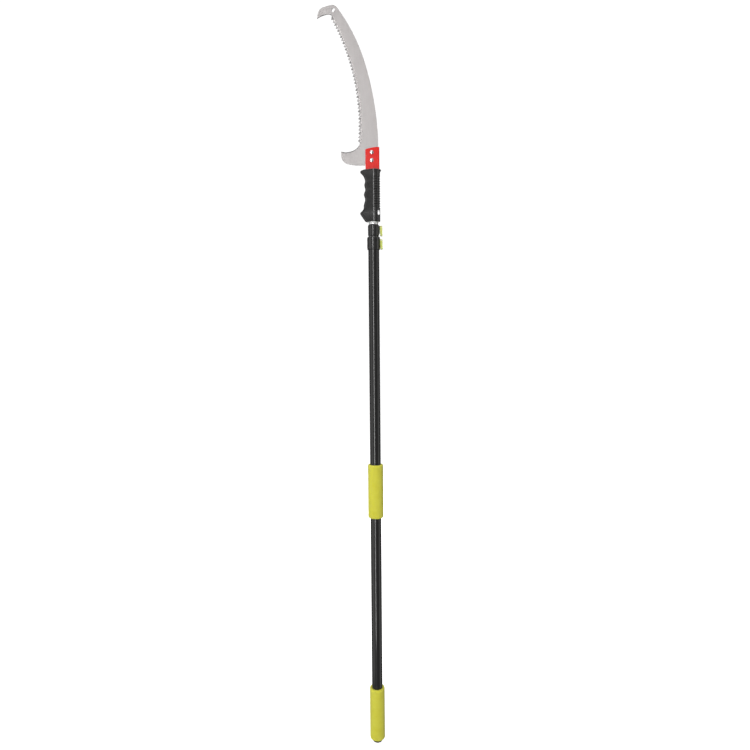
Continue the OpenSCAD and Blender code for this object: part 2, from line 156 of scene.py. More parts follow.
class Surface:
    """A Principled material with short calls for the procedural nodes that feed it."""

    def __init__(self, name, **values):
        self.material = bpy.data.materials.new(name)
        self.material.use_nodes = True
        self.tree = self.material.node_tree
        self.shader = self.tree.nodes["Principled BSDF"]
        self.place = self.tree.nodes.new("ShaderNodeTexCoord").outputs["Object"]
        self.normal = None
        for socket, value in values.items():
            self.shader.inputs[socket.replace("_", " ")].default_value = value

    def node(self, kind, **values):
        made = self.tree.nodes.new("ShaderNode" + kind)
        for socket, value in values.items():
            made.inputs[socket.replace("_", " ")].default_value = value
        return made

    def link(self, source, target):
        self.tree.links.new(source, target)

    def stretched(self, scale):
        """Object coordinates scaled along X, Y and Z, for grain that runs one way."""
        mapping = self.node("Mapping", Scale=scale)
        self.link(self.place, mapping.inputs["Vector"])
        return mapping.outputs["Vector"]

    def noise(self, scale, detail=3, roughness=0.5, stretch=None):
        made = self.node("TexNoise", Scale=scale, Detail=detail, Roughness=roughness)
        self.link(self.stretched(stretch) if stretch else self.place, made.inputs["Vector"])
        return made.outputs["Fac"]

    def cells(self, scale):
        made = self.node("TexVoronoi", Scale=scale)
        self.link(self.place, made.inputs["Vector"])
        return made.outputs["Distance"]

    def colour(self, source, low, high):
        """Base colour from low to high as source goes through NOISE_RANGE."""
        made = self.node("ValToRGB")
        self.link(source, made.inputs["Fac"])
        for stop, position, colour in zip(made.color_ramp.elements, NOISE_RANGE, (low, high)):
            stop.position = position
            stop.color = (*colour, 1)
        self.link(made.outputs["Color"], self.shader.inputs["Base Color"])

    def rough(self, source, low, high):
        """Roughness from low to high as source goes through NOISE_RANGE."""
        made = self.node("MapRange")
        sockets = ("From Min", "From Max", "To Min", "To Max")
        for socket, value in zip(sockets, (*NOISE_RANGE, low, high)):
            made.inputs[socket].default_value = value
        self.link(source, made.inputs["Value"])
        self.link(made.outputs["Result"], self.shader.inputs["Roughness"])

    def bump(self, source, strength, distance):
        """Adds one layer of relief, distance in metres."""
        made = self.node("Bump", Strength=strength, Distance=distance)
        self.link(source, made.inputs["Height"])
        if self.normal:
            self.link(self.normal, made.inputs["Normal"])
        self.normal = made.outputs["Normal"]
        self.link(self.normal, self.shader.inputs["Normal"])


def black_paint():
    s = Surface("black_paint", Specular_IOR_Level=0.25, Coat_Weight=1.0, Coat_Roughness=0.08)
    s.colour(s.noise(9), (0.0075, 0.0073, 0.0071), (0.0105, 0.0102, 0.0099))
    s.rough(s.noise(60, 4, 0.6, (1, 1, 0.05)), 0.34, 0.44)
    s.bump(s.noise(420, 2), 0.06, 0.0002)
    s.bump(s.noise(900, 3, 0.7, (1, 1, 0.015)), 0.03, 0.0001)
    return s.material


def black_nylon():
    s = Surface("black_nylon", Specular_IOR_Level=0.35, Coat_Weight=0.8, Coat_Roughness=0.1)
    s.colour(s.noise(80), (0.013, 0.0128, 0.0125), (0.019, 0.0185, 0.018))
    s.rough(s.noise(300, 3), 0.26, 0.38)
    s.bump(s.noise(2600, 2, 0.6), 0.12, 0.00012)
    return s.material


def handle_plastic():
    s = Surface("handle_plastic", Specular_IOR_Level=0.3, Coat_Weight=1.0, Coat_Roughness=0.13)
    s.colour(s.noise(45, 4), (0.0135, 0.0132, 0.013), (0.021, 0.0205, 0.020))
    s.rough(s.noise(220, 3), 0.34, 0.46)
    s.bump(s.cells(1500), 0.16, 0.00015)
    s.bump(s.noise(500, 3), 0.08, 0.0002)
    return s.material


def lime_plastic():
    s = Surface("lime_plastic", Specular_IOR_Level=0.5, Subsurface_Weight=0.12, Subsurface_Scale=0.002)
    s.colour(s.noise(120), (0.66, 0.715, 0.13), (0.74, 0.78, 0.18))
    s.rough(s.noise(400, 3), 0.3, 0.42)
    s.bump(s.noise(2200, 2), 0.08, 0.0001)
    return s.material


def lime_foam():
    s = Surface("lime_foam", Specular_IOR_Level=0.25, Sheen_Weight=0.15, Sheen_Roughness=0.6,
                Subsurface_Weight=0.45, Subsurface_Radius=(1, 1, 0.5), Subsurface_Scale=0.012)
    tone = s.noise(30, 5, 0.65)
    pores = s.cells(1500)
    s.colour(tone, (0.76, 0.715, 0.055), (0.83, 0.80, 0.09))
    s.rough(pores, 0.75, 0.95)
    s.bump(pores, 0.35, 0.0003)
    s.bump(s.noise(600, 4, 0.7), 0.25, 0.0003)
    return s.material


def satin_steel():
    """Blade face: fine cross-grain from the grinding belt, faint mottling."""
    s = Surface("satin_steel", Metallic=1.0, Anisotropic=0.35)
    s.colour(s.noise(28, 5, 0.6), (0.495, 0.472, 0.467), (0.52, 0.496, 0.491))
    s.rough(s.noise(700, 4, 0.7, (1, 1, 0.08)), 0.47, 0.59)
    s.bump(s.noise(1800, 4, 0.75, (1, 1, 0.04)), 0.06, 0.0001)
    return s.material


def ground_steel_painted_shade():
    """Ground facets next to the cutting edges, with coarse lines across the edge. Their colour, far darker
    than the blade face, is painted shade.
    """
    s = Surface("ground_steel_painted_shade", Metallic=1.0, Anisotropic=0.2)
    s.colour(s.noise(200, 3), (0.13, 0.126, 0.124), (0.155, 0.15, 0.148))
    s.rough(s.noise(900, 4, 0.7, (0.1, 1, 1)), 0.24, 0.36)
    s.bump(s.noise(2600, 4, 0.75, (0.05, 1, 1)), 0.14, 0.0001)
    return s.material


def polished_steel():
    """Bright run-out of the grinding wheel behind each gullet."""
    s = Surface("polished_steel", Metallic=1.0)
    s.colour(s.noise(200, 3), (0.24, 0.231, 0.228), (0.27, 0.26, 0.257))
    s.rough(s.noise(900, 4, 0.7, (0.1, 1, 1)), 0.22, 0.34)
    s.bump(s.noise(2600, 4, 0.75, (0.05, 1, 1)), 0.1, 0.0001)
    return s.material


def red_powder():
    s = Surface("red_powder", Specular_IOR_Level=0.3, Coat_Weight=0.1, Coat_Roughness=0.15)
    s.colour(s.noise(60, 3), (0.82, 0.016, 0.012), (0.88, 0.026, 0.019))
    s.rough(s.noise(260, 3), 0.3, 0.42)
    s.bump(s.noise(700, 2, 0.5), 0.1, 0.00025)
    return s.material


def bright_zinc():
    s = Surface("bright_zinc", Metallic=1.0)
    s.colour(s.noise(150, 3), (0.68, 0.68, 0.69), (0.78, 0.78, 0.78))
    s.rough(s.noise(500, 3), 0.16, 0.26)
    s.bump(s.noise(1500, 3), 0.05, 0.0001)
    return s.material


def turned_alloy():
    """Bright lathe-turned tip, with turning lines round its axis."""
    s = Surface("turned_alloy", Metallic=0.5)
    s.colour(s.noise(90, 3), (0.92, 0.92, 0.92), (0.96, 0.96, 0.96))
    s.rough(s.noise(300, 3), 0.26, 0.38)
    s.bump(s.noise(2400, 2, 0.5, (0.02, 0.02, 1)), 0.08, 0.0001)
    return s.material


def plain_steel():
    s = Surface("plain_steel", Metallic=1.0)
    s.colour(s.noise(200, 3), (0.5, 0.5, 0.51), (0.62, 0.62, 0.62))
    s.rough(s.noise(600, 3), 0.28, 0.42)
    s.bump(s.noise(1800, 3), 0.06, 0.0001)
    return s.material


def pale_plastic(name, low, high):
    s = Surface(name, Specular_IOR_Level=0.5, Subsurface_Weight=0.1, Subsurface_Scale=0.002)
    s.colour(s.noise(100, 3), low, high)
    s.rough(s.noise(300, 3), 0.34, 0.46)
    s.bump(s.noise(1500, 2), 0.06, 0.0001)
    return s.material


def black_rubber():
    s = Surface("black_rubber", Specular_IOR_Level=0.4)
    s.colour(s.noise(150, 3), (0.02, 0.02, 0.02), (0.03, 0.03, 0.029))
    s.rough(s.noise(400, 3), 0.55, 0.75)
    s.bump(s.noise(1400, 3), 0.2, 0.0002)
    return s.material


MATERIALS = {
    "pole_tube": black_paint(),
    "black_plastic": black_nylon(),
    "collar_plastic": black_nylon(),
    "grip_foam": lime_foam(),
    "lever_plastic": lime_plastic(),
    "shoe_rubber": black_rubber(),
    "bush_plastic": pale_plastic("acetal", (0.74, 0.73, 0.68), (0.80, 0.79, 0.75)),
    "washer_plastic": pale_plastic("nylon", (0.82, 0.82, 0.80), (0.88, 0.88, 0.86)),
    "bright_alloy": turned_alloy(),
    "steel_pin": plain_steel(),
    "bright_steel": bright_zinc(),
    "handle_plastic": handle_plastic(),
    "red_paint": red_powder(),
    "blade_steel": satin_steel(),
}
# Darker steel for the ground facets of teeth and hooks: painted shade.
GROUND_PAINTED_SHADE = ground_steel_painted_shade()
POLISHED = polished_steel()


# ---------------------------------------------------------------- meshes


def ring(radius, z, steps=96):
    """Points round the Z axis in millimetres. radius is a number, or a function of the angle."""
    points = []
    for i in range(steps):
        angle = 2 * math.pi * i / steps
        r = radius(angle) if callable(radius) else radius
        points.append((r * math.cos(angle), r * math.sin(angle), z))
    return points


def skin(bm, rings, loop=False):
    """Faces between neighbouring rings of points. A ring of one point closes an end."""
    made = [[bm.verts.new([MM * c for c in point]) for point in points] for points in rings]
    pairs = list(zip(made, made[1:]))
    if loop:
        pairs.append((made[-1], made[0]))
    for low, high in pairs:
        count = max(len(low), len(high))
        for i in range(count):
            j = (i + 1) % count
            corners = low[i % len(low)], low[j % len(low)], high[j % len(high)], high[i % len(high)]
            bm.faces.new(list(dict.fromkeys(corners)))


def turned(profile, steps=96):
    """Rings of a surface of revolution from (radius, height) points. Radius 0 makes a single point."""
    return [ring(r, z, steps) if r else [(0, 0, z)] for r, z in profile]


def make_piece(name, bm, slot, body, replaced, crease=35, more=(), flat=()):
    """The finished mesh as an object that rides on a body and stands for a CAD node.

    Edges sharper than crease degrees stay sharp. more holds further materials. Faces in flat stay flat."""
    for face in bm.faces:
        face.smooth = True
    for face in flat:
        face.smooth = False
    bmesh.ops.recalc_face_normals(bm, faces=bm.faces)
    mesh = bpy.data.meshes.new(name)
    bm.to_mesh(mesh)
    bm.free()
    mesh.set_sharp_from_angle(angle=math.radians(crease))
    for material in (MATERIALS[slot], *more):
        mesh.materials.append(material)
    piece = bpy.data.objects.new(name, mesh)
    bpy.context.scene.collection.objects.link(piece)
    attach(piece, body)
    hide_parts(replaced)
    return piece


def box_mm(node):
    """Lowest and highest corner of a CAD node."""
    low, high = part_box(node)
    return [c / MM for c in low], [c / MM for c in high]


def handle_top():
    return box_mm("handle")[1][2]


def blend_table(table, z):
    """Smooth value at z from (z, value) rows, by cubic pieces through every row."""
    if z <= table[0][0]:
        return table[0][1]
    if z >= table[-1][0]:
        return table[-1][1]
    k = max(i for i in range(len(table) - 1) if table[i][0] <= z)

    def slope(i):
        a, b = table[max(i - 1, 0)], table[min(i + 1, len(table) - 1)]
        return (b[1] - a[1]) / (b[0] - a[0])

    (z0, v0), (z1, v1) = table[k], table[k + 1]
    span = z1 - z0
    t = (z - z0) / span
    return (
        (2 * t**3 - 3 * t**2 + 1) * v0
        + (t**3 - 2 * t**2 + t) * span * slope(k)
        + (3 * t**2 - 2 * t**3) * v1
        + (t**3 - t**2) * span * slope(k + 1)
    )


def smooth_step(x):
    x = min(max(x, 0), 1)
    return x * x * (3 - 2 * x)


def arc(centre, radius, start, end, count):
    """Points on a circle in the XZ plane from one angle to another, in degrees."""
    angles = [math.radians(start + (end - start) * i / count) for i in range(count + 1)]
    return [(centre[0] + radius * math.cos(a), centre[1] + radius * math.sin(a)) for a in angles]


def bow(a, middle, b, count):
    """Parabola through three points, leaving the last one out."""
    control = [2 * m - (p + q) / 2 for p, m, q in zip(a, middle, b)]
    points = []
    for i in range(count):
        t = i / count
        near, between, far = (1 - t) ** 2, 2 * t * (1 - t), t * t
        points.append(tuple(near * p + between * c + far * q for p, c, q in zip(a, control, b)))
    return points


def parabola(x, *points):
    """Height at x of the parabola through three (x, height) points."""
    total = 0
    for i, (own, height) in enumerate(points):
        (first, _), (second, _) = points[:i] + points[i + 1 :]
        total += height * (x - first) * (x - second) / ((own - first) * (own - second))
    return total


def thread_radius(root, crest, pitch, start, end, z):
    """Radius at height z of a right-handed thread that fades at both ends, as a function of the angle."""
    ridge_end, flank = 0.72, 0.2  # parts of one pitch
    fade = smooth_step((z - start) / (0.5 * pitch)) * smooth_step((end - z) / (0.6 * pitch))

    def radius(angle):
        turn = ((z - start) / pitch - angle / (2 * math.pi)) % 1
        ridge = min(smooth_step(turn / flank), smooth_step((ridge_end - turn) / flank))
        return root + (crest - root) * ridge * fade

    return radius


# ---------------------------------------------------------------- foam grips


def foam_grip(node):
    """Closed-cell foam sleeve: soft ends, three shallow rings at each end and a slightly uneven skin."""
    low, high = box_mm(node)
    z0, length, radius = low[2], high[2] - low[2], high[0]
    steps, edge, row_height = 144, 4.0, 0.8
    ring_marks, ring_depth, ring_half_width = (6.5, 11.5, 16.5), 0.32, 0.7
    bore = [(14.9, 1.0), (15.6, 0.25)]  # its softened mouth, radius and distance from the end
    grooved_from, uneven_from = 18, 15.5  # radii
    quarter = [math.radians(11.25 * i) for i in range(9)]
    rows = list(bore)
    rows += [(radius - edge + edge * math.sin(a), edge - edge * math.cos(a)) for a in quarter]
    rows += [(radius, edge + row_height * i) for i in range(1, int((length - 2 * edge) / row_height))]
    rows += [(radius - edge + edge * math.cos(a), length - edge + edge * math.sin(a)) for a in quarter]
    rows += [(r, length - z) for r, z in reversed(bore)]
    rings = []
    for r, z in rows:
        from_end = min(z, length - z)
        away = [(from_end - mark) / ring_half_width for mark in ring_marks]
        groove = sum(ring_depth * math.exp(-(a**2)) for a in away)
        points = []
        for x, y, height in ring(r - groove if r > grooved_from else r, z0 + z, steps):
            place = Vector((x, y, height))
            lump = 0.10 * noise.noise(place / 7) + 0.05 * noise.noise(place / 1.9)
            grow = 1 + (lump / r if r > uneven_from else 0)
            points.append((x * grow, y * grow, height))
        rings.append(points)
    bm = bmesh.new()
    skin(bm, rings, loop=True)
    piece = make_piece(node + "_foam", bm, "grip_foam", "outer_section", node, crease=60)


# ---------------------------------------------------------------- blade

BLADE_HALF = 0.75  # half the blade's thickness
BEVEL = 0.22  # of the edges that aren't ground
TOOTH_COUNT = 37
TOOTH_DEPTH = 5.4
TEETH_CENTRE, TEETH_RADIUS = (-605, 118.1), 569.1
FIRST_TOOTH, FIRST_PITCH, PITCH_GROWTH, RAKE = 28.45, 8.32, 0.039, 0.32
BOLT_X, BOLT_RISE, BOLT_R = -3.3, (25.3, 46.2), 3.0


def tooth_point(along, radius):
    """Point at a distance along the line of teeth, counted downwards from the first one."""
    angle = math.radians(FIRST_TOOTH) - along / TEETH_RADIUS
    return TEETH_CENTRE[0] + radius * math.cos(angle), TEETH_CENTRE[1] + radius * math.sin(angle)


def tooth_along(k):
    """Distance of tooth k along the line of teeth. The pitch grows from tooth to tooth."""
    return FIRST_PITCH * k + PITCH_GROWTH * k * k / 2


def blade_rim():
    """Outline points from the butt round the back, top hook, teeth and low hook.

    Each is [point, inner point, front half thickness, back half thickness, sort, reach]. The bevel or ground
    facet runs in to the inner point. Where none is given, it is put reach millimetres inwards."""
    plain = BLADE_HALF - 0.2
    rim = []

    def add(points, sort="plain", reach=None):
        for i, point in enumerate(points):
            half = 0.12 if sort == "cut" else plain
            rim.append([point, None, half, half, sort, reach(i, len(points)) if reach else BEVEL])

    def ground_edge(points, low, high):
        """An edge whose ground facet changes evenly from low to high millimetres wide."""
        add(points, "cut", lambda i, n: low + (high - low) * i / n)

    low_centre, low_radius, high_radius, join = (-771.7, 49.1), 786.5, 461.5, 16.76
    high_centre = arc(low_centre, low_radius - high_radius, join, join, 1)[0]
    add([(13.9, 12)])
    add(arc(low_centre, low_radius, -1, join, 60))
    add(arc(high_centre, high_radius, join + 0.6, 37, 60))
    add(bow((-94.5, 422.6), (-99, 425.4), (-104.5, 426.1), 6))
    add(bow((-104.5, 426.1), (-116, 423.8), (-128, 420.1), 8))
    add(bow((-128, 420.1), (-139.6, 410.6), (-144.2, 390.4), 14))
    ground_edge(bow((-144.2, 390.4), (-135.2, 396.1), (-124.7, 399.7), 8), 0.3, 1.5)
    ground_edge(bow((-124.7, 399.7), (-113.2, 401.4), (-103.6, 397.6), 10), 1.5, 0.5)
    tip, gullet = TEETH_RADIUS - TOOTH_DEPTH / 2, TEETH_RADIUS + TOOTH_DEPTH / 2
    for k in range(TOOTH_COUNT):
        start = tooth_along(k)
        pitch = tooth_along(k + 1) - start
        halves = (-0.1, 0.6) if k % 2 else (0.6, -0.1)  # the tips lie on alternate sides
        facet = 2.6 + 0.09 * k
        inner = tooth_point(start + 0.1 * pitch, gullet + 0.5)
        rim.append([tooth_point(start, tip), inner, *halves, "tooth", 0])
        inner = tooth_point(start + (RAKE + 0.1) * pitch, gullet + facet)
        rim.append([tooth_point(start + RAKE * pitch, gullet), inner, 0.4, 0.4, "tooth", 0])
    add([(-35.2, 69.4)])
    widening = bow((-36.2, 65.7), (-50.5, 52.4), (-73.1, 46.9), 16)
    add(widening, "cut", lambda i, n: 0.8 + 1.6 * smooth_step(i / 10))
    ground_edge(bow((-73.1, 46.9), (-79, 47.9), (-84.9, 49.4), 8), 2.4, 0.4)
    add(bow((-84.9, 49.4), (-82.6, 28.2), (-69.9, 16.9), 14))
    add(bow((-69.9, 16.9), (-47, 12.7), (-22, 12.1), 10))
    add([(-22, 12)])
    for i, row in enumerate(rim):
        (x, z), inner, *_, reach = row
        if inner is None:
            (x0, z0), (x1, z1) = rim[i - 1][0], rim[(i + 1) % len(rim)][0]
            length = math.hypot(x1 - x0, z1 - z0)
            row[1] = (x - reach * (z1 - z0) / length, z + reach * (x1 - x0) / length)
    return rim


def inside(point, loop):
    """Whether a point lies in a closed outline, by counting the edges to its right."""
    x, z = point
    hit = False
    for (x0, z0), (x1, z1) in zip(loop, loop[1:] + loop[:1]):
        if (z0 > z) != (z1 > z) and x < x0 + (z - z0) / (z1 - z0) * (x1 - x0):
            hit = not hit
    return hit


def slot_loop(grow):
    """Outline of the slanted hanging slot, 5.9 by 11 mm, moved outwards by grow."""
    centre_x, centre_z, lean, steps = -101, 413, math.radians(-31), 12
    straight, radius = 2.55, 2.95 + grow
    cosine, sine = math.cos(lean), math.sin(lean)
    points = []
    for side, base in ((1, 0), (-1, 180)):
        for i in range(steps + 1):
            angle = math.radians(base + 180 * i / steps)
            x, z = radius * math.cos(angle), side * straight + radius * math.sin(angle)
            points.append((centre_x + x * cosine - z * sine, centre_z + x * sine + z * cosine))
    return points


def blade_plan(rim, holes):
    """The flat plan's points, the front and back half thickness at each, and the edges it is cut along."""
    full = (BLADE_HALF, BLADE_HALF)
    slot, *bolt_holes = holes
    loops = [
        ([row[0] for row in rim], [(row[2], row[3]) for row in rim]),
        ([row[1] for row in rim], [full] * len(rim)),
        (slot, [(0.5, 0.5)] * len(slot)),
        (slot_loop(0.3), [full] * len(slot)),
        *[(hole, [full] * len(hole)) for hole in bolt_holes],
    ]
    points, halves, edges = [], [], []
    for loop, thick in loops:
        first = len(points)
        points += loop
        halves += thick
        edges += [(first + i, first + (i + 1) % len(loop)) for i in range(len(loop))]
    return points, halves, edges


def saw_blade():
    """Flat blade with ground teeth, ground hooks and finely bevelled edges."""
    satin, facet, run_out = 0, 1, 2  # places in the blade's list of materials; facet holds the darker steel, painted shade on the ground facets
    rim = blade_rim()
    outline = [row[0] for row in rim]
    holes = [slot_loop(0)] + [arc((BOLT_X, rise), BOLT_R, 0, 360, 32)[:-1] for rise in BOLT_RISE]
    points, halves, edges = blade_plan(rim, holes)
    ground = {i for i, row in enumerate(rim) if row[4] != "plain"}
    hollow = set()  # one point behind each gullet, where the grinding wheel ran out
    for i, row in enumerate(rim):
        if row[4] == "tooth" and row[2] == row[3]:
            hollow.add(len(points))
            edges += [(i, len(points)), (len(points), i + len(rim))]
            points.append(tuple(a + 0.25 * (b - a) for a, b in zip(row[0], row[1])))
            halves.append((0.46, 0.46))
    flat, _, triangles, origins, _, _ = delaunay_2d_cdt([Vector(p) for p in points], edges, [], 0, 1e-5)
    origin = [ids[0] if ids else None for ids in origins]
    height = handle_top()
    bm = bmesh.new()
    sheets = []
    for side, sign in enumerate((-1, 1)):
        sheet = []
        for (x, z), source in zip(flat, origin):
            half = halves[source][side] if source is not None else BLADE_HALF
            sheet.append(bm.verts.new((MM * x, MM * half * sign, MM * (z + height))))
        sheets.append(sheet)
    kept, flat_faces = [], []
    for triangle in triangles:
        centre = [sum(flat[v][c] for v in triangle) / 3 for c in (0, 1)]
        if inside(centre, outline) and not any(inside(centre, hole) for hole in holes):
            kept.append(triangle)
            corners = {origin[v] for v in triangle}
            # Ground facets take the darker steel, which paints shade on them.
            finish = facet if corners & ground else run_out if corners & hollow else satin
            for sheet, order in zip(sheets, (triangle, triangle[::-1])):
                face = bm.faces.new([sheet[v] for v in order])
                face.material_index = finish
                flat_faces.append(face)
    sides = {}  # how many triangles use each side. The sides used once are the blade's edges
    for triangle in kept:
        for a, b in zip(triangle, triangle[1:] + triangle[:1]):
            sides[frozenset((a, b))] = sides.get(frozenset((a, b)), 0) + 1
    for pair, uses in sides.items():
        if uses == 1:
            a, b = tuple(pair)
            face = bm.faces.new([sheets[0][a], sheets[0][b], sheets[1][b], sheets[1][a]])
            face.material_index = facet if {origin[a], origin[b]} & ground else satin
    bmesh.ops.delete(bm, geom=[v for v in bm.verts if not v.link_faces], context="VERTS")
    make_piece("ground_blade", bm, "blade_steel", "saw_head", "saw_blade", crease=25,
               more=(GROUND_PAINTED_SHADE, POLISHED), flat=flat_faces)


# ---------------------------------------------------------------- bracket, bolts, nuts, washers

BRACKET_HALF = 2.3  # half the folded bracket's thickness
SHEET = 1.5


def folded_bracket():
    """Red sheet folded round the back of the blade, with a round bend and softly broken edges."""
    height = handle_top()
    left, middle, right, bottom = -20.3, -2.8, 17.2, -14
    corner_r, corner_drop = 2.2, 2.0
    bend_x = right - BRACKET_HALF

    def top(x):
        z = parabola(x, (right, 60.3), (middle, 58.7), (left, 54.5))
        corner = min(max((left + corner_r - x) / corner_r, 0), 1)
        return z - corner_drop * (1 - math.sqrt(1 - corner * corner))

    stations = [(left, -1, 0.55), (left + 0.12, -1, 0.8), (left + 0.4, -1, 1)]
    stations += [(left + d, -1, 1) for d in (0.9, 1.5, 2.2, 5, 9, 13, 17, 21, 25, 29, 33)]
    path = [((x, side * BRACKET_HALF), (0, side), k) for x, side, k in stations]
    for i in range(13):
        angle = math.radians(-90 + 15 * i)
        out = (math.cos(angle), math.sin(angle))
        path.append(((bend_x + BRACKET_HALF * out[0], BRACKET_HALF * out[1]), out, 1))
    path += [((x, -y), (nx, -ny), k) for (x, y), (nx, ny), k in reversed(path[: len(stations)])]
    rings = []
    for (x, y), (nx, ny), k in path:
        crown = top(x)
        loop = ((0, bottom), (0, crown - 0.45), (0.1, crown - 0.15), (0.3, crown),
                (0.7, crown), (0.9, crown - 0.15), (1, crown - 0.45), (1, bottom))
        points = []
        for across, z in loop:
            depth = SHEET * (0.5 + (across - 0.5) * k)
            points.append((x - nx * depth, y - ny * depth, height + z))
        rings.append(points)
    bm = bmesh.new()
    skin(bm, rings)
    bm.verts.ensure_lookup_table()
    bm.faces.new(bm.verts[:8])
    bm.faces.new(bm.verts[-8:])
    make_piece("folded_bracket", bm, "red_paint", "saw_head", "blade_bracket", crease=50)


def at_bolts(bm, build):
    """Builds the same turned part at both bolts, with its own Z axis along +Y."""
    height = handle_top()
    for rise in BOLT_RISE:
        part = bmesh.new()
        build(part)
        for vert in part.verts:
            x, y, z = vert.co
            vert.co = (x + MM * BOLT_X, z, MM * (height + rise) - y)
        scratch = bpy.data.meshes.new("scratch")
        part.to_mesh(scratch)
        part.free()
        bm.from_mesh(scratch)
        bpy.data.meshes.remove(scratch)


def bolt_shape(bm):
    """Low domed head, plain shank and a threaded tail."""
    steps, row_height = 64, 0.125
    front, tail = -BRACKET_HALF, BRACKET_HALF + 7.2
    root, pitch, start, chamfer = 2.55, 1.0, 2.0, 0.3
    dome_r, dome_height, rim_height = 5.3, 1.85, 0.75
    quarter = [math.radians(9 * i) for i in range(11)]
    profile = [(dome_r * math.sin(t), front - rim_height - dome_height * math.cos(t)) for t in quarter]
    profile += [(5.45, front - 0.6), (5.5, front - 0.4), (5.5, front - 0.12), (5.35, front), (BOLT_R, front)]
    rings = turned(profile, steps)
    for i in range(int((tail - chamfer - start) / row_height)):
        z = start + row_height * i
        rings.append(ring(thread_radius(root, BOLT_R, pitch, start, tail + chamfer, z), z, steps))
    rings += turned([(2.5, tail - 0.2), (2.2, tail), (0, tail)], steps)
    skin(bm, rings)


def nut_shape(bm):
    """Hexagon nut, 10 mm across flats, chamfered at both ends."""
    base, thickness, half_width, chamfer_r = BRACKET_HALF + 1, 5, 5, 4.75
    chamfer, sixth = math.tan(math.radians(60)), math.pi / 3

    def outside(z):
        limit = chamfer_r + chamfer * min(z, thickness - z)
        return lambda angle: min(limit, half_width / math.cos((angle + sixth / 2) % sixth - sixth / 2))

    rings = [ring(outside(z), base + z) for z in (0, 0.15, 0.3, 0.45, 0.6, 2.5, 4.4, 4.55, 4.7, 4.85, 5)]
    rings += turned([(r, base + z) for r, z in ((3.35, 5), (3.0, 4.6), (3.0, 0.4), (3.35, 0))])
    skin(bm, rings, loop=True)


def washer_shape(bm):
    """Plain washer, 1 mm thick, with broken edges."""
    profile = [(3.1, 0), (5.85, 0), (6, 0.15), (6, 0.75), (5.75, 1), (3.25, 1), (3.05, 0.85)]
    skin(bm, turned([(r, BRACKET_HALF + z) for r, z in profile], 72), loop=True)


def fastener(name, build, node):
    """One piece with the same part at both bolts."""
    bm = bmesh.new()
    at_bolts(bm, build)
    make_piece(name, bm, "bright_steel", "saw_head", node, crease=38)


# ---------------------------------------------------------------- handle

HANDLE_LENGTH = 138.5
HANDLE_LEFT = (  # height above the handle's base, X of the finger side
    (0.5, -18.2), (1.4, -20.5), (2.6, -22.2), (10.8, -28), (19, -33.6), (22, -35.3),
    (24.6, -35.8), (27, -34.6), (30.3, -31.2), (36.1, -26.8), (46.4, -25.8), (61.5, -22.3),
    (73.9, -25.4), (86.5, -21.8), (98.9, -24), (109.4, -22), (114, -22.9), (123, -26.6),
    (128, -31.2), (131.4, -34.2), (134, -34.6), (136.2, -33.2), (138.5, -27.5),
)
HANDLE_RIGHT = (  # height, X of the spine
    (0.5, 14.4), (1.1, 16.3), (2.2, 17.6), (3.5, 18.2), (5, 18.45), (8, 18.5), (128, 18.5), (131, 18.7),
    (133.5, 19.3), (135.5, 20.4), (137, 21.5), (137.9, 21.8), (138.5, 20.9),
)
HANDLE_FAT = (  # height, share of the full thickness
    (0.5, 0.93), (1.4, 0.965), (3, 0.99), (5, 1.0), (124, 1.0), (129, 1.02), (133, 1.08), (136, 1.16),
    (137.5, 1.18), (138.5, 1.13),
)
RIB_START, RIB_PITCH, RIB_COUNT, RIB_TOP, RIB_DEPTH, RIB_FLANK = 38.0, 6.5, 13, 2.6, 1.3, 1.3
BLADE_SUNK = 12  # depth of the blade's butt in the handle
SOCKET_R, SOCKET_DEPTH = 9.825, 34.9
HANDLE_CREASE = 40


def rib_depth(z):
    """How deep the spine lies under the ribs at height z above the handle's base."""
    within = z - RIB_START
    if not 0 <= within <= RIB_PITCH * RIB_COUNT:
        return 0.0
    within %= RIB_PITCH
    width = RIB_PITCH - RIB_TOP
    return RIB_DEPTH * min(smooth_step(within / RIB_FLANK), smooth_step((width - within) / RIB_FLANK))


def handle_ring(z, base):
    """Teardrop plan section: round spine, straight flanks and a round nose for the fingers."""
    left, right, fat = (blend_table(t, z) for t in (HANDLE_LEFT, HANDLE_RIGHT, HANDLE_FAT))
    big, nose, spine = 14.5, 8.0, 3.0  # both radii, and X of the larger circle's centre
    nose_x = left + nose
    arch_height, arch_reach, arch_fade = 1.4, 15.0, 6  # the base rises towards its middle
    ribs_from, ribs_rise = 1.6, 1.8  # the ribs begin here in X and have their full depth this much further
    half_turn, nose_half, flank_parts = 36, 12, 8  # points
    lean = math.acos(min((big - nose) / (spine - nose_x), 0.96))
    groove = rib_depth(z)
    plan = []
    for i in range(2 * half_turn + 1):
        angle = (math.pi - lean) * (i / half_turn - 1)
        x, y = math.cos(angle), math.sin(angle)
        r = big - groove * smooth_step((big * x + spine - ribs_from) / ribs_rise)
        plan.append((spine + r * x, r * y))
    x0, y0 = spine - big * math.cos(lean), big * math.sin(lean)
    x1, y1 = nose_x - nose * math.cos(lean), nose * math.sin(lean)
    parts = [i / flank_parts for i in range(1, flank_parts)]
    flank = [(x0 + (x1 - x0) * t, y0 + (y1 - y0) * t) for t in parts]
    plan += flank
    for i in range(2 * nose_half + 1):
        angle = math.pi + lean * (i / nose_half - 1)
        plan.append((nose_x + nose * math.cos(angle), nose * math.sin(angle)))
    plan += [(x, -y) for x, y in reversed(flank)]
    points = []
    for x, y in plan:
        if x > spine:
            x = spine + (x - spine) * (right - spine) / big
        arch = arch_height * max(1 - (x / arch_reach) ** 2, 0) * max(1 - z / arch_fade, 0)
        points.append((x, y * fat, base + z + arch))
    return points


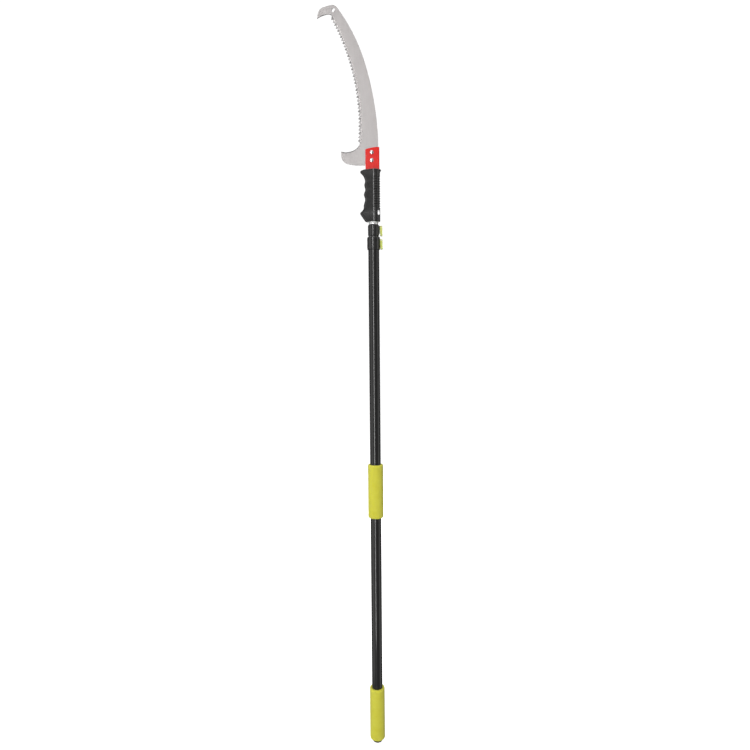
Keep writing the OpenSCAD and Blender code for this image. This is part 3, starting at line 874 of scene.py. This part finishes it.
def moulded_handle():
    """Handle with finger grooves, ribs along its spine, an open socket and a lanyard slot."""
    base = box_mm("saw_blade")[0][2] - BLADE_SUNK - HANDLE_LENGTH
    heights = [0.5, 0.8, 1.2, 1.8, 2.6, 3.6, 5, 7, 9.5, 12.5, 16, 19]
    heights += [21, 22.5, 24, 25.2, 26.5, 28, 30, 32, 34.5, 36.5, 37.8]
    rib_rows = (0, 0.25, 0.5, 0.8, 1.05, 1.3, 1.95, 2.6, 2.85, 3.1, 3.4, 3.65, 3.9, 5.2)
    for rib in range(RIB_COUNT):
        heights += [RIB_START + RIB_PITCH * rib + d for d in rib_rows]
    heights += [122.6, 124, 126, 128, 130, 131.5, 133, 134.2, 135.2, 136, 136.7, 137.3, 137.8, 138.2, 138.5]
    outer = handle_ring(heights[0], base)

    def round_hole(r, z):
        return [(r * x / math.hypot(x, y), r * y / math.hypot(x, y), z) for x, y, _ in outer]

    end, crown = base + SOCKET_DEPTH, base + HANDLE_LENGTH + 0.1
    rings = [[(0, 0, end)], round_hole(SOCKET_R, end)]
    rings += [round_hole(SOCKET_R, base + 2.7), round_hole(10.5, base + 2.0)]
    rings += [handle_ring(z, base) for z in heights]
    rings += [[(x * 0.97 - 0.1, y * 0.96, crown) for x, y, _ in rings[-1]], [(-3, 0, crown)]]
    bm = bmesh.new()
    skin(bm, rings)
    piece = make_piece("moulded_handle", bm, "handle_plastic", "saw_head", "handle", crease=HANDLE_CREASE)
    cut_slot(piece, centre=(14.1, base + 25), width=5, height=12)


def cut_slot(piece, centre, width, height):
    """Round-ended slot through the handle along Y."""
    radius, straight, reach = width / 2, (height - width) / 2, 25
    loop = [(x, straight + z) for x, z in arc((0, 0), radius, 0, 180, 15)]
    loop += [(-x, -z) for x, z in loop]
    bm = bmesh.new()
    skin(bm, [[(centre[0] + x, y, centre[1] + z) for x, z in loop] for y in (-reach, reach)])
    bm.verts.ensure_lookup_table()
    bm.faces.new(bm.verts[: len(loop)])
    bm.faces.new(bm.verts[len(loop) :])
    bmesh.ops.recalc_face_normals(bm, faces=bm.faces)
    mesh = bpy.data.meshes.new("cutter")
    bm.to_mesh(mesh)
    bm.free()
    cutter = bpy.data.objects.new("cutter", mesh)
    bpy.context.scene.collection.objects.link(cutter)
    cut = piece.modifiers.new("slot", "BOOLEAN")
    cut.operation = "DIFFERENCE"
    cut.solver = "EXACT"
    cut.object = cutter
    bpy.context.view_layer.update()
    shaped = bpy.data.meshes.new_from_object(piece.evaluated_get(bpy.context.evaluated_depsgraph_get()))
    piece.modifiers.clear()
    piece.data = shaped
    shaped.name = piece.name
    shaped.set_sharp_from_angle(angle=math.radians(HANDLE_CREASE))
    bpy.data.objects.remove(cutter)


# ---------------------------------------------------------------- pole tip and end cap


def threaded_tip():
    """Turned tip: plug in the tube, bright shoulder and a real helical thread."""
    low, high = box_mm("pole_tip")
    bottom, top = low[2], high[2]
    shoulder = box_mm("upper_collar")[1][2] + 0.1
    root, crest, pitch, rows = 8.225, 9.525, 5.08, 66
    start, last = shoulder + 7.8, top - 1.3
    profile = [(0, bottom), (9, bottom), (9.98, bottom + 1), (9.98, shoulder)]
    profile += [(r, shoulder + z) for r, z in (
        (11.8, 0), (12.1, 0.08), (12.32, 0.3), (12.4, 0.6), (12.4, 3.7), (12.32, 4.0), (12.1, 4.22),
        (11.8, 4.3), (8.3, 4.3), (8.1, 4.5), (8.1, 7.2))]
    rings = turned(profile)
    for i in range(rows + 1):
        z = start + (last - start) * i / rows
        rings.append(ring(thread_radius(root, crest, pitch, start, top, z), z))
    rings += turned([(8.0, top - 1.0), (7.3, top - 0.25), (6.9, top), (0, top)])
    bm = bmesh.new()
    skin(bm, rings)
    make_piece("threaded_tip", bm, "bright_alloy", "inner_section", "pole_tip", crease=40)


def foot_cap():
    """Rounded foot with two raised rings under it and a fine bead where it meets the tube."""
    flat_r, rounding, side_r = 9.5, 5.1, 14.6
    quarter = [math.radians(10 * i) for i in range(1, 10)]
    profile = [(0, 0.5), (2.6, 0.5), (2.9, 0.1), (3.1, 0), (4.4, 0), (4.6, 0.1), (4.9, 0.5),
               (7.4, 0.5), (7.7, 0.1), (7.9, 0), (flat_r, 0)]
    profile += [(flat_r + rounding * math.sin(a), rounding - rounding * math.cos(a)) for a in quarter]
    profile += [(side_r, 6.6), (14.3, 6.8), (14.3, 7.1), (side_r, 7.3), (side_r, 7.8), (14.4, 8),
                (14, 8), (14, 28), (13, 30), (11, 30), (11, 5), (0, 5)]
    bm = bmesh.new()
    skin(bm, turned(profile))
    make_piece("foot_cap", bm, "black_plastic", "outer_section", "end_cap", crease=35)


# ---------------------------------------------------------------- CAD nodes that stay

EDGE_BREAK = {  # width of the rounded edges in millimetres
    "lower_collar": 0.45, "upper_collar": 0.45, "lower_lever": 0.5, "upper_lever": 0.5,
    "outer_tube": 0.15, "middle_tube": 0.15, "inner_tube": 0.15, "thrust_washer": 0.3,
    "lower_lever_pin": 0.2, "upper_lever_pin": 0.2,
}


def dress_cad_nodes():
    """Every CAD node gets its slot's material, and the ones that show get finely rounded edges."""
    slot_of = {row["node"]: row["material_slot"] for row in frame["record"]["subparts"]}
    for name, part in NODES.items():
        part.data.materials.clear()
        part.data.materials.append(MATERIALS[slot_of[name]])
        part.data.polygons.foreach_set("material_index", [0] * len(part.data.polygons))
        if name in EDGE_BREAK:
            edge = part.modifiers.new("edge", "BEVEL")
            edge.width = EDGE_BREAK[name] * MM
            edge.segments = 3
            edge.limit_method = "ANGLE"
            edge.angle_limit = math.radians(40)
            edge.use_clamp_overlap = True


add_camera()
add_studio()
dress_cad_nodes()
foam_grip("foot_grip")
foam_grip("mid_grip")
saw_blade()
folded_bracket()
fastener("domed_bolts", bolt_shape, "blade_bolts")
fastener("chamfered_nuts", nut_shape, "blade_nuts")
fastener("flat_washers", washer_shape, "bolt_washers")
moulded_handle()
threaded_tip()
foot_cap()
